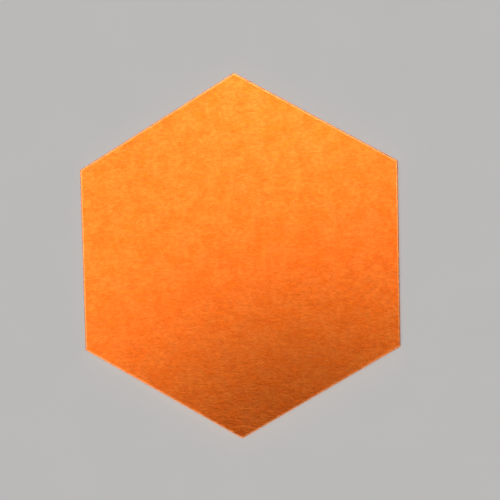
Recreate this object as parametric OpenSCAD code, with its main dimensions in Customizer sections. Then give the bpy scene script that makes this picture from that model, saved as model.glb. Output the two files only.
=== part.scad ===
// Slim hexagonal practice pad: a felt face, a rubber rebound sheet, a stiff board and a non-slip base,
// bonded flat on each other by three double-sided adhesive films.
// Lengths are in millimetres. The origin is the middle of the underside, +Z is up through the felt,
// and two of the six corners lie on the Y axis.

/* [Outline] */
// Width of the pad across two opposite corners
across_corners = 305; // [200:1:400]

/* [Felt face] */
// Thickness of the struck felt sheet
felt_thickness = 3; // [1.5:0.1:6]

/* [Rebound sheet] */
// Thickness of the gum rubber under the felt
rebound_thickness = 2; // [1:0.1:8]

/* [Core board] */
// Thickness of the hardboard that keeps the pad flat
board_thickness = 2.5; // [1.5:0.1:9]

/* [Non-slip base] */
// Thickness of the ribbed rubber base, ribs included
base_thickness = 1.2; // [1:0.1:4]
// How far the base stays inside the pad's cut edge
base_setback = 0.8; // [0:0.1:6]
// Distance from one rib of the base to the next
rib_pitch = 5; // [4:0.5:12]
// Width of the groove between two ribs
groove_width = 1.6; // [0.6:0.1:2.4]
// Depth of the groove between two ribs
groove_depth = 0.4; // [0.2:0.05:0.6]

/* [Adhesive films] */
// Thickness of each double-sided film
film_thickness = 0.2; // [0.1:0.05:0.5]
// How far each film stays inside the pad's cut edge
film_setback = 0.5; // [0:0.1:4]

/* [Hidden] */

// Side count of the outline, and the turn that brings a corner onto the Y axis
side_count = 6;
corner_turn = 90;

// Heights of the seven layers' undersides, stacked face to face
base_film_z = base_thickness;
board_z = base_film_z + film_thickness;
core_film_z = board_z + board_thickness;
rebound_z = core_film_z + film_thickness;
face_film_z = rebound_z + rebound_thickness;
felt_z = face_film_z + film_thickness;

// The grooves run along Y. Ribs of full width are left at both sides and along the middle.
outer_rib_width = rib_pitch - groove_width;
base_half_width = across_corners / 2 * cos(180 / side_count) - base_setback;
outermost_groove = base_half_width - outer_rib_width - groove_width / 2;
grooves_each_side = floor(outermost_groove / rib_pitch + 0.5);

// How far a cutting tool runs past the face it cuts
overcut = 1;

// One flat layer of the stack with its underside at z, its sides setback inside the pad's cut edge
module layer(z, thickness, setback) {
    radius = across_corners / 2 - setback / cos(180 / side_count);
    translate([0, 0, z])
        rotate([0, 0, corner_turn])
            cylinder(r = radius, h = thickness, $fn = side_count);
}

// One groove of the base, open downwards, along Y with its middle at x
module groove(x) {
    translate([x - groove_width / 2, -across_corners / 2, -overcut])
        cube([groove_width, across_corners, groove_depth + overcut]);
}

module non_slip_base() {
    color("#2b2c2e")
        difference() {
            layer(0, base_thickness, base_setback);
            for (side = [-1, 1], i = [1:grooves_each_side])
                groove(side * (i - 0.5) * rib_pitch);
        }
}

module base_adhesive() {
    color("#d9cfae")
        layer(base_film_z, film_thickness, max(film_setback, base_setback));
}

module core_board() {
    color("#6f4a2c")
        layer(board_z, board_thickness, 0);
}

module core_adhesive() {
    color("#d9cfae")
        layer(core_film_z, film_thickness, film_setback);
}

module rebound_sheet() {
    color("#c79a5f")
        layer(rebound_z, rebound_thickness, 0);
}

module face_adhesive() {
    color("#d9cfae")
        layer(face_film_z, film_thickness, film_setback);
}

module felt_face() {
    color("#f07a22")
        layer(felt_z, felt_thickness, 0);
}

non_slip_base();
base_adhesive();
core_board();
core_adhesive();
rebound_sheet();
face_adhesive();
felt_face();
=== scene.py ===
import itertools
import math

import bmesh
import bpy
import numpy as np
from mathutils import Matrix, Vector


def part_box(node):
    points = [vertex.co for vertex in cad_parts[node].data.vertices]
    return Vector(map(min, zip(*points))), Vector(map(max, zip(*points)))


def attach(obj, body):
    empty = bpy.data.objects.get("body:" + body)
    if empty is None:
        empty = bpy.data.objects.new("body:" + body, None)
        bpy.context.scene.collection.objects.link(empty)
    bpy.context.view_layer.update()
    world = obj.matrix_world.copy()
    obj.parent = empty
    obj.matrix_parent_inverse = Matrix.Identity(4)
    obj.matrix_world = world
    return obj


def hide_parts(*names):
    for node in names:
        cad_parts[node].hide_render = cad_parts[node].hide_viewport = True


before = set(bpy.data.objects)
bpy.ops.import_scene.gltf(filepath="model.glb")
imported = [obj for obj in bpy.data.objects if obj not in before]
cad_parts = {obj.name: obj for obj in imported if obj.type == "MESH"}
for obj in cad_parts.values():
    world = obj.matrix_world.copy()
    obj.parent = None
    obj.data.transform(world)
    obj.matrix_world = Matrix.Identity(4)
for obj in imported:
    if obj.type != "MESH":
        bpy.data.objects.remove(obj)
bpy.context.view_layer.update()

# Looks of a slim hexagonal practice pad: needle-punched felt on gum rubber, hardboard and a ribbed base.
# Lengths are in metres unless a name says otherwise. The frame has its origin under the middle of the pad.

MM = 0.001
SIDES = 6
SIDE_TURN = 360 / SIDES  # degrees from the middle of one side to the next
SIDE_SLOPE = math.cos(math.pi / SIDES)  # apothem over circumradius of a hexagon

felt_low, felt_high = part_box("felt_face")
rubber_low, rubber_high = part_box("rebound_sheet")
board_low, board_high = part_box("core_board")
CIRCUMRADIUS = felt_high.y
APOTHEM = felt_high.x
FACE_Z = felt_high.z

# Triangles from the middle of a sheet to its corner
FELT_STEPS = 116
SHEET_STEPS = 96

# Felt: where its flat top ends, inside the cut, and how far the mean of its relief lies under the CAD face
FELT_EDGE_INSET = 1.55 * MM
FELT_SINK = 0.08 * MM
# One row for each layer of the felt's relief: bump size along, bump size across, turn in degrees, height
FELT_RELIEF = (
    (11.0 * MM, 11.0 * MM, 0, 0.060 * MM),
    (4.5 * MM, 4.5 * MM, 20, 0.045 * MM),
    (9.0 * MM, 2.6 * MM, 8, 0.040 * MM),
    (8.0 * MM, 2.6 * MM, -38, 0.028 * MM),
    (8.0 * MM, 2.6 * MM, 62, 0.028 * MM),
)
# Roughly how far the pad's cut edges stray from a straight line
FELT_WAVER = 0.05 * MM
RUBBER_WAVER = 0.02 * MM
BOARD_WAVER = 0.012 * MM

BASE_EDGE_RADIUS = 0.12 * MM

# Loose fibres on the felt: how many, and the points along each
FACE_FIBRES = 7400
FACE_FIBRE_POINTS = 5
FACE_FIBRE_MARGIN = 1.0 * MM  # of its middle, inside the cut
FACE_FIBRE_END_MARGIN = 0.5 * MM
FACE_FIBRE_SINK = 0.04 * MM
CARDED_SHARE = 0.7

# Cut fibre ends round the edge
EDGE_FIBRES = 5200
EDGE_FIBRE_ROOT = 0.25 * MM  # how far inside the cut each one starts
EDGE_FIBRE_POINTS = 4
FIBRE_SIDES = 3

# Random seeds
FACE_FIBRE_SEED = 5
EDGE_FIBRE_SEED = 9
FELT_WALL_SEED = 11
RUBBER_WALL_SEED = 21
BOARD_WALL_SEED = 31

NOISE_CELLS = 61  # the random table's side: the noise repeats after so many bumps

# Camera, in circumradii from the middle of the face, as the photograph's outline gives it
CAMERA_PLACE = (0.160, 0.080, 2.197)
CAMERA_AIM = (0.065, 0.038, 0.0)
CAMERA_ROLL = math.radians(-1.3)
CAMERA_LENS_MM = 29.1
CAMERA_SENSOR_MM = 36.0


# ---------------------------------------------------------------- noise and outlines


def smooth_noise(points, feature, seed):
    """Smooth random values from -1 to 1 at each point. feature is the size of a bump along each axis."""
    table = np.random.default_rng(seed).uniform(-1, 1, (NOISE_CELLS,) * 3)
    cell = points / np.asarray(feature)
    low = np.floor(cell).astype(int)
    part = cell - low
    part = part * part * (3 - 2 * part)
    value = np.zeros(len(points))
    for corner in itertools.product((0, 1), repeat=3):
        weight = np.prod(np.where(corner, part, 1 - part), axis=1)
        place = (low + corner) % NOISE_CELLS
        value += weight * table[place[:, 0], place[:, 1], place[:, 2]]
    return value


def turned(xy, degrees):
    """The points turned about the origin."""
    a = math.radians(degrees)
    return xy @ np.array([[math.cos(a), math.sin(a)], [-math.sin(a), math.cos(a)]])


def felt_relief(xy):
    """How far the felt's surface stands off its mean height at each point."""
    height = np.zeros(len(xy))
    for seed, (along, across, turn, rise) in enumerate(FELT_RELIEF):
        flat = np.column_stack([turned(xy, turn), np.zeros(len(xy))])
        height += rise * smooth_noise(flat, (along, across, 1.0), seed)
    return height


def inside_by(xy):
    """How far each point is inside the pad's outline."""
    reach = [np.abs(turned(xy, SIDE_TURN * k)[:, 0]) for k in range(SIDES // 2)]
    return APOTHEM - np.max(reach, axis=0)


def hexagon_lattice(steps):
    """A triangular lattice in a hexagon of circumradius 1: its points, triangles and outer ring in order."""
    corners = ((1, 0), (0, 1), (-1, 1), (-1, 0), (0, -1), (1, -1))
    index = {}
    for q in range(-steps, steps + 1):
        for r in range(max(-steps, -q - steps), min(steps, steps - q) + 1):
            index[q, r] = len(index)
    triangles = []
    for (q, r), here in index.items():
        ahead = index.get((q + 1, r))
        for other in ((q, r + 1), (q + 1, r - 1)):
            if ahead is not None and other in index:
                third = index[other]
                triangles.append((here, ahead, third) if other[0] == q else (here, third, ahead))
    ring = []
    for k, (q, r) in enumerate(corners):
        to_q, to_r = corners[(k + 1) % SIDES]
        ring += [index[q * steps + (to_q - q) * s, r * steps + (to_r - r) * s] for s in range(steps)]
    axes = np.array([[SIDE_SLOPE, math.sin(math.pi / SIDES)], [0.0, 1.0]])
    points = np.array(list(index), float) @ axes / steps
    return points, triangles, ring


# ---------------------------------------------------------------- meshes


def new_piece(name, vertices, faces, smooth=True):
    """A new mesh object in the frame."""
    mesh = bpy.data.meshes.new(name)
    mesh.from_pydata([tuple(v) for v in vertices], [], faces)
    mesh.validate()
    mesh.update()
    mesh.polygons.foreach_set("use_smooth", [smooth] * len(mesh.polygons))
    piece = bpy.data.objects.new(name, mesh)
    bpy.context.scene.collection.objects.link(piece)
    return piece


def wall_rings(ring, profile, z, waver, seed):
    """Rings of points round a cut edge. profile has each ring's (inset, depth below z)."""
    rings = []
    for inset, depth in profile:
        xy = ring * (CIRCUMRADIUS - inset / SIDE_SLOPE)
        points = np.column_stack([xy, np.full(len(xy), z - depth)])
        stray = smooth_noise(points, (3.0 * MM, 3.0 * MM, 0.7 * MM), seed)
        stray += 0.6 * smooth_noise(points, (1.1 * MM, 1.1 * MM, 0.45 * MM), seed + 1)
        outwards = xy / np.linalg.norm(xy, axis=1)[:, None]
        points[:, :2] += outwards * (waver * stray)[:, None]
        rings.append(points)
    return rings


def ring_faces(first, second, count):
    """Quads between two rings of count points, from their first indices."""
    return [(first + i, second + i, second + (i + 1) % count, first + (i + 1) % count) for i in range(count)]


def cut_sheet(name, profile, z, waver, steps, seed):
    """A flat sheet cut to the pad's outline. profile shapes its cut edge from the top face to the bottom."""
    points, _, outer = hexagon_lattice(steps)
    rings = wall_rings(points[outer], profile, z, waver, seed)
    count = len(outer)
    faces = [tuple(range(count))]
    for k in range(len(rings) - 1):
        faces += ring_faces(k * count, (k + 1) * count, count)
    faces.append(tuple(reversed(range((len(rings) - 1) * count, len(rings) * count))))
    return new_piece(name, np.vstack(rings), faces)


def felt_sheet():
    """The felt: a relief of needled tufts on top, a soft rim and a slightly ragged cut edge."""
    thickness = felt_high.z - felt_low.z
    points, triangles, outer = hexagon_lattice(FELT_STEPS)
    xy = points * (CIRCUMRADIUS - FELT_EDGE_INSET / SIDE_SLOPE)
    top = np.column_stack([xy, FACE_Z - FELT_SINK + felt_relief(xy)])
    profile = [
        (1.15 * MM, 0.15 * MM),
        (0.78 * MM, 0.26 * MM),
        (0.48 * MM, 0.41 * MM),
        (0.24 * MM, 0.61 * MM),
        (0.08 * MM, 0.86 * MM),
        (0.00 * MM, 1.15 * MM),
        (0.02 * MM, 1.50 * MM),
        (0.00 * MM, 1.95 * MM),
        (0.01 * MM, 2.40 * MM),
        (0.06 * MM, thickness),
    ]
    rings = wall_rings(points[outer], profile, FACE_Z, FELT_WAVER, FELT_WALL_SEED)
    rings[-1][:, 2] = felt_low.z
    count = len(outer)
    first = len(top)
    rim = [(outer[i], first + i, first + (i + 1) % count, outer[(i + 1) % count]) for i in range(count)]
    faces = triangles + rim
    for k in range(len(rings) - 1):
        faces += ring_faces(first + k * count, first + (k + 1) * count, count)
    faces.append(tuple(reversed(range(first + (len(rings) - 1) * count, first + len(rings) * count))))
    return new_piece("felt_sheet", np.vstack([top, *rings]), faces)


def fibre_mesh(name, lines, radius, tone):
    """One closed three-sided tube along each line of points. tone is a shade from 0 to 1 for each fibre.

    Each fibre has its own square of the UV map, so that none shares its baked colour with another.
    """
    count, length, _ = lines.shape
    along = np.gradient(lines, axis=1)
    along /= np.linalg.norm(along, axis=2)[:, :, None]
    nearly_up = np.array([0.13, 0.07, 1.0])
    side = np.cross(along, nearly_up)
    side /= np.linalg.norm(side, axis=2)[:, :, None]
    over = np.cross(side, along)
    taper = 1 - 0.7 * np.abs(np.linspace(-1, 1, length)) ** 5
    thick = radius[:, None] * taper[None, :]
    angles = 2 * math.pi * np.arange(FIBRE_SIDES) / FIBRE_SIDES
    rings = (
        lines[:, :, None, :]
        + thick[:, :, None, None] * np.cos(angles)[None, None, :, None] * side[:, :, None, :]
        + thick[:, :, None, None] * np.sin(angles)[None, None, :, None] * over[:, :, None, :]
    )
    vertices = rings.reshape(-1, 3)
    faces = []
    corners = []
    cells = math.ceil(math.sqrt(count))
    used, small = 0.9 / cells, 0.1 / cells
    for f in range(count):
        base = f * length * FIBRE_SIDES
        left, low = (f % cells) / cells, (f // cells) / cells
        right, high = left + used, low + used
        for i, k in itertools.product(range(length - 1), range(FIBRE_SIDES)):
            here = base + FIBRE_SIDES * i
            n = (k + 1) % FIBRE_SIDES
            faces.append((here + k, here + n, here + FIBRE_SIDES + n, here + FIBRE_SIDES + k))
            u0, u1 = left + used * i / (length - 1), left + used * (i + 1) / (length - 1)
            v0, v1 = low + used * k / FIBRE_SIDES, low + used * (k + 1) / FIBRE_SIDES
            corners += [(u0, v0), (u0, v1), (u1, v1), (u1, v0)]
        end = base + FIBRE_SIDES * (length - 1)
        faces.append((base + 2, base + 1, base))
        faces.append((end, end + 1, end + 2))
        corners += [(left, low), (left + small, low), (left, low + small)]
        corners += [(right, high), (right - small, high), (right, high - small)]
    piece = new_piece(name, vertices, faces)
    uv = piece.data.uv_layers.new(name="OFBake")
    uv.uv.foreach_set("vector", np.array(corners, np.float32).ravel())
    shade = piece.data.attributes.new("fibre_tone", "FLOAT", "POINT")
    shade.data.foreach_set("value", np.repeat(tone, length * FIBRE_SIDES).astype(np.float32))
    return piece


def points_on_face(rng, count, margin):
    """Random points on the face, at least margin inside the outline."""
    found = np.empty((0, 2))
    while len(found) < count:
        xy = rng.uniform((-APOTHEM, -CIRCUMRADIUS), (APOTHEM, CIRCUMRADIUS), (2 * count, 2))
        found = np.vstack([found, xy[inside_by(xy) > margin]])
    return found[:count]


def face_fibres():
    """Loose fibres on the felt: most run roughly along X, as the felt was carded, and the rest lie anyhow."""
    rng = np.random.default_rng(FACE_FIBRE_SEED)
    middle = points_on_face(rng, FACE_FIBRES, FACE_FIBRE_MARGIN)
    carded = rng.random(FACE_FIBRES) < CARDED_SHARE
    angle = np.where(carded, rng.normal(0.05, 0.30, FACE_FIBRES), rng.uniform(0, math.pi, FACE_FIBRES))
    length = np.clip(rng.lognormal(math.log(6.5 * MM), 0.45, FACE_FIBRES), 2 * MM, 16 * MM)
    bend = length * rng.normal(0, 0.13, FACE_FIBRES)
    lift = rng.uniform(0.05 * MM, 0.22 * MM, FACE_FIBRES)
    t = np.linspace(-1, 1, FACE_FIBRE_POINTS)
    ahead = np.column_stack([np.cos(angle), np.sin(angle)])
    aside = np.column_stack([-np.sin(angle), np.cos(angle)])
    xy = (
        middle[:, None, :]
        + (length / 2)[:, None, None] * t[None, :, None] * ahead[:, None, :]
        + bend[:, None, None] * (t * t - 0.4)[None, :, None] * aside[:, None, :]
        + (0.05 * length)[:, None, None] * np.sin(3.1 * t)[None, :, None] * aside[:, None, :]
    )
    over = np.minimum(inside_by(xy.reshape(-1, 2)) - FACE_FIBRE_END_MARGIN, 0).reshape(xy.shape[:2])
    xy *= (1 + over / APOTHEM)[:, :, None]
    surface = (FACE_Z - FELT_SINK + felt_relief(xy.reshape(-1, 2))).reshape(xy.shape[:2])
    z = surface + lift[:, None] * (1 - t**2)[None, :] - FACE_FIBRE_SINK
    lines = np.dstack([xy, z])
    radius = rng.uniform(0.034 * MM, 0.060 * MM, FACE_FIBRES)
    return fibre_mesh("felt_fibres", lines, radius, rng.random(FACE_FIBRES))


def edge_fibres():
    """Cut fibre ends that stand out of the felt's edge."""
    rng = np.random.default_rng(EDGE_FIBRE_SEED)
    side = rng.integers(0, SIDES, EDGE_FIBRES)
    along = rng.uniform(-0.5, 0.5, EDGE_FIBRES) * CIRCUMRADIUS
    depth = rng.beta(1.1, 1.6, EDGE_FIBRES) * (felt_high.z - felt_low.z - 0.1 * MM)
    swing = rng.normal(0, 0.7, EDGE_FIBRES)
    rise = rng.normal(0.1, 0.45, EDGE_FIBRES)
    length = np.clip(rng.lognormal(math.log(0.75 * MM), 0.45, EDGE_FIBRES), 0.25 * MM, 2.2 * MM)
    t = np.linspace(0, 1, EDGE_FIBRE_POINTS)
    out = -EDGE_FIBRE_ROOT + (length * np.cos(swing) * np.cos(rise))[:, None] * t[None, :]
    slide = along[:, None] + (length * np.sin(swing))[:, None] * t[None, :]
    curl = rng.normal(0, 0.25, EDGE_FIBRES) * length
    z = felt_high.z - FELT_SINK - 0.05 * MM - depth[:, None] + (length * np.sin(rise))[:, None] * t[None, :]
    z += curl[:, None] * (t * t)[None, :]
    turn = np.radians(side * SIDE_TURN)
    x = (APOTHEM + out) * np.cos(turn)[:, None] - slide * np.sin(turn)[:, None]
    y = (APOTHEM + out) * np.sin(turn)[:, None] + slide * np.cos(turn)[:, None]
    lines = np.dstack([x, y, z])
    radius = rng.uniform(0.020 * MM, 0.036 * MM, EDGE_FIBRES)
    return fibre_mesh("felt_edge_fibres", lines, radius, rng.random(EDGE_FIBRES))


def rounded_copy(name, node, edge_radius):
    """A copy of a CAD node's mesh with its sharp edges rounded."""
    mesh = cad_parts[node].data.copy()
    mesh.name = name
    body = bmesh.new()
    body.from_mesh(mesh)
    bmesh.ops.remove_doubles(body, verts=body.verts, dist=1e-6)
    bmesh.ops.dissolve_limit(body, angle_limit=math.radians(2), verts=body.verts, edges=body.edges)
    sharp = [e for e in body.edges if e.is_manifold and e.calc_face_angle(0) > math.radians(40)]
    bmesh.ops.bevel(
        body, geom=sharp, offset=edge_radius, segments=3, profile=0.5, affect="EDGES", clamp_overlap=True
    )
    body.to_mesh(mesh)
    body.free()
    normals = mesh.attributes.get("custom_normal")
    if normals is not None:
        mesh.attributes.remove(normals)
    mesh.materials.clear()
    piece = bpy.data.objects.new(name, mesh)
    bpy.context.scene.collection.objects.link(piece)
    return piece


# ---------------------------------------------------------------- material helpers


class Nodes:
    """A short way to build a node material whose patterns are in millimetres of the frame."""

    def __init__(self, name):
        self.material = bpy.data.materials.new(name)
        self.material.use_nodes = True
        self.tree = self.material.node_tree
        self.tree.nodes.clear()
        self.shader = self.add("ShaderNodeBsdfPrincipled")
        self.output = self.add("ShaderNodeOutputMaterial")
        self.link(self.shader.outputs["BSDF"], self.output.inputs["Surface"])
        place = self.add("ShaderNodeTexCoord").outputs["Object"]
        self.mm = self.vector("SCALE", place, 1 / MM)

    def add(self, kind):
        return self.tree.nodes.new(kind)

    def link(self, source, target):
        if isinstance(source, bpy.types.NodeSocket):
            self.tree.links.new(source, target)
        else:
            target.default_value = source

    def vector(self, operation, a, b):
        node = self.add("ShaderNodeVectorMath")
        node.operation = operation
        self.link(a, node.inputs[0])
        self.link(b, node.inputs["Scale" if operation == "SCALE" else 1])
        return node.outputs["Value" if operation == "DOT_PRODUCT" else "Vector"]

    def math(self, operation, a, b=0.0):
        node = self.add("ShaderNodeMath")
        node.operation = operation
        self.link(a, node.inputs[0])
        self.link(b, node.inputs[1])
        return node.outputs[0]

    def between(self, value, low, high, to_low=0.0, to_high=1.0):
        """value taken smoothly from low..high to to_low..to_high, and held there outside."""
        node = self.add("ShaderNodeMapRange")
        node.interpolation_type = "SMOOTHSTEP"
        ends = {"From Min": low, "From Max": high, "To Min": to_low, "To Max": to_high}
        for name, setting in {"Value": value, **ends}.items():
            self.link(setting, node.inputs[name])
        return node.outputs["Result"]

    def noise(self, size, detail=2.0, roughness=0.5, distortion=0.0, turn=0.0, shift=(0.0, 0.0, 0.0)):
        """Noise with bumps of these sizes in millimetres, the pattern turned by so many degrees about Z."""
        where = self.add("ShaderNodeMapping")
        where.vector_type = "TEXTURE"
        where.inputs["Location"].default_value = shift
        where.inputs["Rotation"].default_value[2] = math.radians(turn)
        where.inputs["Scale"].default_value = size
        self.link(self.mm, where.inputs["Vector"])
        node = self.add("ShaderNodeTexNoise")
        node.inputs["Scale"].default_value = 1.0
        node.inputs["Detail"].default_value = detail
        node.inputs["Roughness"].default_value = roughness
        node.inputs["Distortion"].default_value = distortion
        self.link(where.outputs["Vector"], node.inputs["Vector"])
        return node.outputs["Fac"]

    def mix(self, amount, a, b):
        """The colour a where amount is 0, and b where it is 1."""
        node = self.add("ShaderNodeMix")
        node.data_type = "RGBA"
        self.link(amount, node.inputs[0])
        self.link(a, node.inputs[6])
        self.link(b, node.inputs[7])
        return node.outputs[2]

    def bump(self, height, distance_mm, strength=1.0):
        node = self.add("ShaderNodeBump")
        node.inputs["Strength"].default_value = strength
        node.inputs["Distance"].default_value = distance_mm * MM
        self.link(height, node.inputs["Height"])
        return node.outputs["Normal"]

    def finish(self, color, roughness, normal=None, **sockets):
        self.link(color, self.shader.inputs["Base Color"])
        self.link(roughness, self.shader.inputs["Roughness"])
        if normal is not None:
            self.link(normal, self.shader.inputs["Normal"])
        for name, value in sockets.items():
            self.shader.inputs[name.replace("_", " ")].default_value = value
        return self.material


def rgb(red, green, blue):
    return (red, green, blue, 1.0)


# ---------------------------------------------------------------- materials

FELT_ORANGE = rgb(0.885, 0.151, 0.0095)
FELT_PALE = rgb(0.96, 0.262, 0.040)
FELT_DEEP = rgb(0.70, 0.080, 0.002)
# Pale cut fibre ends, used also as a painted highlight along the felt's rim, and for pale specks
FELT_CUT_AND_HIGHLIGHT = rgb(1.0, 0.345, 0.125)

# Directions that the felt's strands run in: turn in degrees, then length and width in millimetres
STRANDS = ((3, 7, 0.85), (-15, 6, 0.80), (21, 6, 0.80), (-34, 5, 0.85), (68, 5, 0.9))


def distance_to_cut(nodes):
    """How far a point is inside the pad's outline, in millimetres."""
    reach = None
    for k in range(SIDES // 2):
        a = math.radians(SIDE_TURN * k)
        outwards = (math.cos(a), math.sin(a), 0.0)
        across = nodes.math("ABSOLUTE", nodes.vector("DOT_PRODUCT", nodes.mm, outwards))
        reach = across if reach is None else nodes.math("MAXIMUM", reach, across)
    return nodes.math("SUBTRACT", APOTHEM / MM, reach)


def felt_strands(nodes):
    """The tangled strands of the needled mat: 1 along the middle of each one and 0 between them."""
    strands = None
    for turn, length, width in STRANDS:
        size = (length, width, width)
        one = nodes.noise(size, roughness=0.55, distortion=0.4, turn=turn, shift=(turn, 5, 0))
        ridge = nodes.between(one, 0.53, 0.74)
        strands = ridge if strands is None else nodes.math("MAXIMUM", strands, ridge)
    return strands


def felt_face_color(nodes, tuft, strands):
    """The needled face: pale clouds, deeper tufts and gaps, and paler strands and specks."""
    cloud = nodes.noise((12, 12, 12), roughness=0.55)
    gaps = nodes.noise((4.5, 0.85, 0.85), roughness=0.6, distortion=0.4, turn=6, shift=(31, 17, 0))
    specks = nodes.noise((0.9, 0.7, 0.8), detail=1.0, shift=(13, 5, 2))
    color = nodes.mix(nodes.between(cloud, 0.35, 0.66, 0.0, 0.32), FELT_ORANGE, FELT_PALE)
    color = nodes.mix(nodes.between(tuft, 0.36, 0.62, 0.36, 0.0), color, FELT_DEEP)
    color = nodes.mix(nodes.math("MULTIPLY", strands, 0.31), color, FELT_PALE)
    color = nodes.mix(nodes.between(gaps, 0.28, 0.44, 0.22, 0.0), color, FELT_DEEP)
    return nodes.mix(nodes.between(specks, 0.66, 0.76, 0.0, 0.30), color, FELT_CUT_AND_HIGHLIGHT)


def felt_cut_and_highlight_color(nodes, ends):
    """The cut edge and rounded rim: pale fibre ends in thin plies, partly a painted highlight along the rim.
    """
    plies = nodes.noise((2.6, 2.6, 0.22), detail=3.0, roughness=0.6, distortion=0.3, shift=(8, 1, 3))
    color = nodes.mix(nodes.between(plies, 0.36, 0.62, 0.75, 0.0), FELT_CUT_AND_HIGHLIGHT, FELT_PALE)
    return nodes.mix(nodes.between(ends, 0.34, 0.50, 0.45, 0.0), color, FELT_ORANGE)


def felt_height(nodes, strands, ends, to_cut):
    """The felt's fine relief: ripples in two directions, strands and fuzz, and only fibre ends at the cut."""
    fuzz = nodes.noise((0.5, 0.5, 0.5), detail=3.0, roughness=0.7, shift=(2, 2, 5))
    ripple = nodes.noise((4.5, 1.5, 1.5), detail=1.0, distortion=0.4, turn=5, shift=(1, 1, 1))
    cross = nodes.noise((3.6, 1.4, 1.4), detail=1.0, distortion=0.4, turn=-48, shift=(6, 4, 1))
    height = nodes.math("MULTIPLY", strands, 0.5)
    for layer, rise in ((fuzz, 0.15), (ripple, 2.4), (cross, 1.0)):
        height = nodes.math("ADD", height, nodes.math("MULTIPLY", layer, rise))
    height = nodes.math("MULTIPLY", height, nodes.between(to_cut, 0.1, 0.7))
    return nodes.math("ADD", height, nodes.math("MULTIPLY", ends, 0.25))


def felt_material():
    """Orange needle-punched felt, paler along its cut edge and rim: partly pale fibre ends, partly a painted
    highlight.
    """
    nodes = Nodes("orange_felt")
    tuft = nodes.noise((4.0, 3.2, 3.2), roughness=0.6, shift=(7, 3, 0))
    ends = nodes.noise((0.28, 0.28, 0.20), shift=(5, 2, 9))
    ragged = nodes.noise((2.2, 2.2, 2.2), shift=(3, 9, 0))
    strands = felt_strands(nodes)
    to_cut = distance_to_cut(nodes)
    rim = nodes.math("SUBTRACT", to_cut, nodes.between(ragged, 0.3, 0.7, 0.0, 0.35))
    # Painted highlight: the rim and cut edge turn pale within about 1.2 to 1.9 mm of the cut, partly real
    # pale fibre ends
    color = nodes.mix(
        nodes.between(rim, 1.25, 1.85, 0.95, 0.0),
        felt_face_color(nodes, tuft, strands),
        felt_cut_and_highlight_color(nodes, ends),
    )
    relief = nodes.bump(felt_height(nodes, strands, ends, to_cut), 0.80)
    return nodes.finish(
        color, nodes.between(tuft, 0.3, 0.7, 0.86, 0.96), relief,
        Specular_IOR_Level=0.03, Sheen_Weight=0.015, Sheen_Roughness=0.45, Sheen_Tint=rgb(1.0, 0.62, 0.36),
    )


def fibre_material():
    """Single polyester fibres, each its own shade of the felt, some deeper along part of their length."""
    nodes = Nodes("felt_fibre")
    tone = nodes.add("ShaderNodeAttribute")
    tone.attribute_name = "fibre_tone"
    shade = nodes.between(tone.outputs["Fac"], 0.0, 1.0)
    along = nodes.noise((1.6, 1.6, 1.6))
    color = nodes.mix(shade, rgb(0.98, 0.180, 0.015), rgb(1.0, 0.35, 0.075))
    color = nodes.mix(nodes.between(along, 0.35, 0.65, 0.25, 0.0), color, FELT_DEEP)
    return nodes.finish(
        color, nodes.between(along, 0.3, 0.7, 0.55, 0.75),
        Specular_IOR_Level=0.1, Sheen_Weight=0.03, Sheen_Tint=rgb(1.0, 0.7, 0.45),
    )


def gum_rubber_material():
    """Tan natural rubber with fine scores from the knife that cut it."""
    nodes = Nodes("gum_rubber")
    cloud = nodes.noise((9, 9, 3), detail=4.0, roughness=0.6)
    specks = nodes.noise((0.35, 0.35, 0.35), shift=(4, 4, 4))
    scores = nodes.noise((0.35, 0.35, 6.0), detail=3.0, roughness=0.6, shift=(1, 8, 0))
    color = nodes.mix(nodes.between(cloud, 0.35, 0.65), rgb(0.50, 0.27, 0.095), rgb(0.62, 0.36, 0.145))
    color = nodes.mix(nodes.between(specks, 0.60, 0.72, 0.0, 0.5), color, rgb(0.33, 0.17, 0.06))
    color = nodes.mix(nodes.between(scores, 0.36, 0.50, 0.30, 0.0), color, rgb(0.40, 0.21, 0.075))
    rough = nodes.between(scores, 0.3, 0.7, 0.62, 0.82)
    return nodes.finish(color, rough, nodes.bump(scores, 0.08, 0.5), Specular_IOR_Level=0.35)


def hardboard_material():
    """Dense brown fibreboard: thin pressed layers, paler wood fibres and fine upright saw marks."""
    nodes = Nodes("hardboard")
    layers = nodes.noise((5.0, 5.0, 0.35), detail=4.0, roughness=0.65)
    fibres = nodes.noise((1.6, 0.3, 0.3), detail=3.0, roughness=0.6, distortion=0.6, turn=20)
    saw = nodes.noise((0.28, 0.28, 5.0), shift=(6, 1, 0))
    color = nodes.mix(nodes.between(layers, 0.32, 0.68), rgb(0.085, 0.036, 0.014), rgb(0.215, 0.100, 0.040))
    color = nodes.mix(nodes.between(fibres, 0.56, 0.70, 0.0, 0.55), color, rgb(0.33, 0.18, 0.08))
    color = nodes.mix(nodes.between(saw, 0.34, 0.46, 0.45, 0.0), color, rgb(0.05, 0.022, 0.010))
    height = nodes.math("ADD", nodes.math("MULTIPLY", fibres, 0.7), saw)
    rough = nodes.between(fibres, 0.3, 0.7, 0.68, 0.86)
    return nodes.finish(color, rough, nodes.bump(height, 0.10, 0.6), Specular_IOR_Level=0.3)


def adhesive_material():
    """Amber double-sided film, slightly glossy, with the odd trapped bubble."""
    nodes = Nodes("adhesive_film")
    cloud = nodes.noise((6, 6, 6), detail=3.0)
    bubbles = nodes.noise((0.6, 0.6, 0.6), detail=1.0, shift=(5, 5, 1))
    color = nodes.mix(nodes.between(cloud, 0.35, 0.65), rgb(0.60, 0.50, 0.30), rgb(0.74, 0.66, 0.46))
    color = nodes.mix(nodes.between(bubbles, 0.64, 0.74, 0.0, 0.6), color, rgb(0.86, 0.83, 0.74))
    rough = nodes.between(bubbles, 0.4, 0.7, 0.28, 0.42)
    return nodes.finish(color, rough, nodes.bump(bubbles, 0.03, 0.4), Specular_IOR_Level=0.5)


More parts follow.
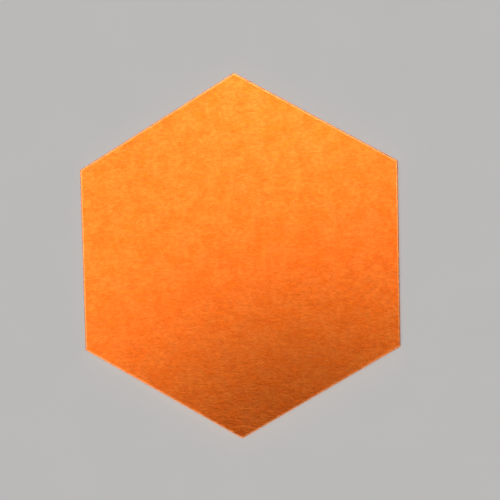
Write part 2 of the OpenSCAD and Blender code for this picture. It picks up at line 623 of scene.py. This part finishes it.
def cloth_imprint(nodes):
    """The weave that the moulding cloth left: two sets of waves, square to each other."""
    imprint = None
    for turn in (45, 135):
        wave = nodes.add("ShaderNodeTexWave")
        wave.inputs["Scale"].default_value = 0.36
        wave.inputs["Distortion"].default_value = 0.8
        wave.inputs["Detail"].default_value = 1.0
        where = nodes.add("ShaderNodeMapping")
        where.inputs["Rotation"].default_value[2] = math.radians(turn)
        nodes.link(nodes.mm, where.inputs["Vector"])
        nodes.link(where.outputs["Vector"], wave.inputs["Vector"])
        threads = wave.outputs["Fac"]
        imprint = threads if imprint is None else nodes.math("MULTIPLY", imprint, threads)
    return imprint


def grip_rubber_material():
    """Black moulded rubber with a fine cloth imprint and a trace of pale bloom."""
    nodes = Nodes("grip_rubber")
    bloom = nodes.noise((20, 20, 8), detail=5.0, roughness=0.65)
    grain = nodes.noise((0.30, 0.30, 0.30), roughness=0.6)
    color = nodes.mix(nodes.between(bloom, 0.35, 0.75), rgb(0.020, 0.020, 0.022), rgb(0.033, 0.033, 0.035))
    color = nodes.mix(nodes.between(grain, 0.62, 0.74, 0.0, 0.4), color, rgb(0.075, 0.074, 0.072))
    height = nodes.math("ADD", cloth_imprint(nodes), nodes.math("MULTIPLY", grain, 0.5))
    rough = nodes.between(bloom, 0.3, 0.7, 0.58, 0.78)
    return nodes.finish(color, rough, nodes.bump(height, 0.06, 0.6), Specular_IOR_Level=0.4)


def floor_material():
    """Plain pale studio floor."""
    nodes = Nodes("floor_pale")
    cloud = nodes.noise((60, 60, 60), detail=3.0)
    color = nodes.mix(cloud, rgb(0.54, 0.54, 0.545), rgb(0.56, 0.56, 0.56))
    return nodes.finish(color, 0.9, Specular_IOR_Level=0.1)


# ---------------------------------------------------------------- stage

# Spots over the pad, aimed past its far side: name, place, aim, spread in degrees, power in watts
KEYS = (
    ("key_right", (0.05, 0.15, 0.90), (0.55, 0.37, 0.0), 77.0, 43.6),
    ("key_left", (-0.15, 0.08, 0.90), (-0.41, 0.47, 0.0), 87.0, 63.0),
)
KEY_BLEND = 0.4
KEY_RADIUS = 0.12
# Low strips before and behind the pad: name, place, width and height, power in watts
STRIPS = (
    ("front_strip", (-0.12, -0.95, 0.18), (0.9, 0.2), 10.6),
    ("rear_strip", (0.10, 0.95, 0.25), (0.9, 0.3), 4.5),
)
STRIP_AIM = (0.0, 0.0, 0.01)
LIGHT_COLOR = (1.0, 0.985, 0.965)
OVERHEAD_POWER = 2.6
OVERHEAD_SPREAD = math.radians(50)
FILL_COLOR = rgb(0.96, 0.98, 1.0)
FILL_STRENGTH = 0.08
BACKDROP_COLOR = rgb(0.480, 0.476, 0.469)
FLOOR_HALF_WIDTH = 3.0
FLOOR_GAP = 0.02 * MM  # under the pad, so that the two surfaces don't coincide


def make_camera():
    """The photograph's viewpoint: hand-held, nearly straight above, a little to the right and far side."""
    middle = Vector((0, 0, FACE_Z))
    place = middle + Vector(CAMERA_PLACE) * CIRCUMRADIUS
    aim = middle + Vector(CAMERA_AIM) * CIRCUMRADIUS
    back = (place - aim).normalized()
    right = Vector((0, 1, 0)).cross(back).normalized()
    turn = Matrix((right, back.cross(right), back)).transposed().to_4x4()
    data = bpy.data.cameras.new("camera")
    data.lens = CAMERA_LENS_MM
    data.sensor_width = CAMERA_SENSOR_MM
    data.clip_start = 0.01
    camera = bpy.data.objects.new("camera", data)
    camera.matrix_world = Matrix.Translation(place) @ turn @ Matrix.Rotation(CAMERA_ROLL, 4, "Z")
    bpy.context.scene.collection.objects.link(camera)
    bpy.context.scene.camera = camera


def soft_light(name, kind, place, aim, power, lit):
    """A studio light that the camera doesn't see, pointed at a place. It lights only the objects in lit."""
    data = bpy.data.lights.new(name, kind)
    data.energy = power
    data.color = LIGHT_COLOR
    light = bpy.data.objects.new(name, data)
    light.location = place
    light.rotation_euler = (Vector(aim) - Vector(place)).to_track_quat("-Z", "Y").to_euler()
    light.visible_camera = False
    light.light_linking.receiver_collection = lit
    bpy.context.scene.collection.objects.link(light)
    return data


def lit_group(name, objects):
    """A named group of objects for a light to shine on."""
    group = bpy.data.collections.new(name)
    for one in objects:
        group.objects.link(one)
    return group


def make_lights(floor):
    """The pad's keys and strips, and an overhead light that keeps the floor plain and pale.

    The keys' light falls off over the pad's near right side, as it does in the photograph.
    """
    studio = lit_group("floor_light_reaches", [floor])
    meshes = [o for o in bpy.context.scene.objects if o.type == "MESH"]
    pad = lit_group("pad_lights_reach", [o for o in meshes if o != floor])
    for name, place, aim, spread, watts in KEYS:
        key = soft_light(name, "SPOT", place, aim, watts, pad)
        key.spot_size = math.radians(spread)
        key.spot_blend = KEY_BLEND
        key.shadow_soft_size = KEY_RADIUS
    for name, place, size, watts in STRIPS:
        strip = soft_light(name, "AREA", place, STRIP_AIM, watts, pad)
        strip.shape = "RECTANGLE"
        strip.size, strip.size_y = size
    overhead = soft_light("overhead", "SUN", (-0.2, 0.3, 2.0), (0.0, 0.0, 0.0), OVERHEAD_POWER, studio)
    overhead.angle = OVERHEAD_SPREAD


def make_world():
    """An even fill from all round, and a pale backdrop where the camera looks past the floor."""
    world = bpy.data.worlds.new("studio")
    world.use_nodes = True
    tree = world.node_tree
    fill = tree.nodes["Background"]
    fill.inputs["Color"].default_value = FILL_COLOR
    fill.inputs["Strength"].default_value = FILL_STRENGTH
    seen = tree.nodes.new("ShaderNodeBackground")
    seen.inputs["Color"].default_value = BACKDROP_COLOR
    path = tree.nodes.new("ShaderNodeLightPath")
    either = tree.nodes.new("ShaderNodeMixShader")
    tree.links.new(path.outputs["Is Camera Ray"], either.inputs[0])
    tree.links.new(fill.outputs[0], either.inputs[1])
    tree.links.new(seen.outputs[0], either.inputs[2])
    tree.links.new(either.outputs[0], tree.nodes["World Output"].inputs["Surface"])
    bpy.context.scene.world = world


def make_floor():
    """A plain square floor under the pad."""
    half = FLOOR_HALF_WIDTH
    corners = [(-half, -half, 0), (half, -half, 0), (half, half, 0), (-half, half, 0)]
    floor = new_piece("floor", corners, [(0, 1, 2, 3)], smooth=False)
    floor.location.z = -FLOOR_GAP
    floor.data.materials.append(floor_material())
    return floor


# ---------------------------------------------------------------- the pad


def dress(piece, material, slot, *stands_for):
    """Gives a new piece its material and lets it stand for its CAD node. The slot argument is not used."""
    piece.data.materials.clear()
    piece.data.materials.append(material)
    if stands_for:
        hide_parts(*stands_for)
    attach(piece, "root")


def make_felt():
    """The felt sheet with its loose fibres and cut fibre ends."""
    sheet = felt_sheet()
    loose = face_fibres()
    ends = edge_fibres()
    fibre = fibre_material()
    dress(sheet, felt_material(), "orange_felt", "felt_face")
    dress(loose, fibre, "orange_felt")
    dress(ends, fibre, "orange_felt")


def lower_half(upper, thickness):
    """The mirror image of the upper half of a cut edge's profile."""
    return [(inset, thickness - depth) for inset, depth in reversed(upper)]


def make_rubber():
    """The gum rubber sheet. Its cut edge bulges a little, squeezed between the felt and the board."""
    thickness = rubber_high.z - rubber_low.z
    upper = [
        (0.22 * MM, 0.0),
        (0.07 * MM, 0.10 * MM),
        (-0.02 * MM, 0.35 * MM),
        (-0.07 * MM, 0.70 * MM),
    ]
    middle = (-0.09 * MM, thickness / 2)
    profile = [*upper, middle, *lower_half(upper, thickness)]
    rubber = cut_sheet("rebound_rubber", profile, rubber_high.z, RUBBER_WAVER, SHEET_STEPS, RUBBER_WALL_SEED)
    dress(rubber, gum_rubber_material(), "gum_rubber", "rebound_sheet")


def make_board():
    """The hardboard core. Its sawn edge is sanded at both corners."""
    thickness = board_high.z - board_low.z
    upper = [
        (0.30 * MM, 0.0),
        (0.10 * MM, 0.08 * MM),
        (0.02 * MM, 0.28 * MM),
        (0.02 * MM, 0.75 * MM),
    ]
    profile = [*upper, *lower_half(upper, thickness)]
    board = cut_sheet("board", profile, board_high.z, BOARD_WAVER, SHEET_STEPS, BOARD_WALL_SEED)
    dress(board, hardboard_material(), "hardboard", "core_board")


def make_base():
    """The moulded grip sheet: the CAD base with its ribs and rim slightly rounded."""
    base = rounded_copy("ribbed_base", "non_slip_base", BASE_EDGE_RADIUS)
    dress(base, grip_rubber_material(), "grip_rubber", "non_slip_base")


def make_films():
    """The three adhesive films are the CAD's own, with a material."""
    film = adhesive_material()
    for node in ("face_adhesive", "core_adhesive", "base_adhesive"):
        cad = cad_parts[node]
        cad.data.materials.clear()
        cad.data.materials.append(film)


# ---------------------------------------------------------------- the scene

bpy.context.scene.view_settings.view_transform = "Standard"
make_camera()
make_rubber()
make_board()
make_base()
make_films()
make_felt()
make_lights(make_floor())
make_world()
